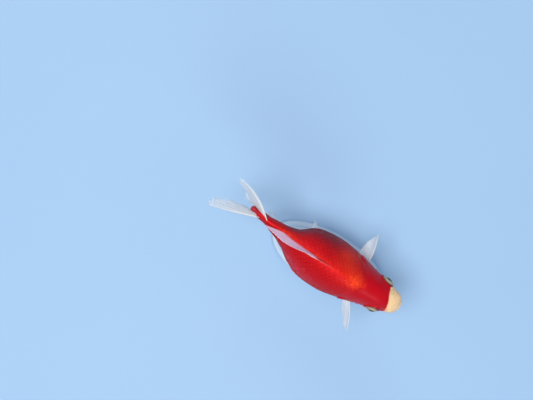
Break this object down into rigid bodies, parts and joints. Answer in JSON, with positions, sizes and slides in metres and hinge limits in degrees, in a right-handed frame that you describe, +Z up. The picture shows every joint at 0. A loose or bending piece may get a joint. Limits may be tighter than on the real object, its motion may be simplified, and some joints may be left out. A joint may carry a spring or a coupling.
{
  "type": "twin-tailed goldfish model on a display stand",
  "caption": "Life-size red and cream twin-tailed goldfish in a swimming pose, turning its tail to its left, held by slim rods over an oval base.",
  "frame": {"origin": "centre of the stand base's underside, on the floor below the middle of the trunk", "axes": "+X towards the fish's snout, +Y to its left, +Z up"},
  "size_m": [0.1037, 0.0486, 0.071],
  "materials": {
    "skin_red": "wet, glossy",
    "skin_cream": "wet, glossy",
    "fin_clear": "translucent, wet",
    "eye": "polished",
    "stand_paint": "satin paint",
    "stand_steel": "satin"
  },
  "bodies": {
    "root": {"snout": "skin_cream", "jaw_lower": "skin_cream", "head": "skin_red", "trunk": "skin_red", "tail_stem": "skin_red", "gill_cover_left": "skin_red", "gill_cover_right": "skin_red", "eye_left": "eye", "eye_right": "eye", "dorsal_fin": "fin_clear", "pectoral_fin_left": "fin_clear", "pectoral_fin_right": "fin_clear", "pelvic_fin_left": "fin_clear", "pelvic_fin_right": "fin_clear", "anal_fin_left": "fin_clear", "anal_fin_right": "fin_clear", "tail_fin_left_upper": "fin_clear", "tail_fin_left_lower": "fin_clear", "tail_fin_right_upper": "fin_clear", "tail_fin_right_lower": "fin_clear", "stand_base": "stand_paint", "stand_rod_front": "stand_steel", "stand_rod_rear": "stand_steel"}
  },
  "joints": []
}
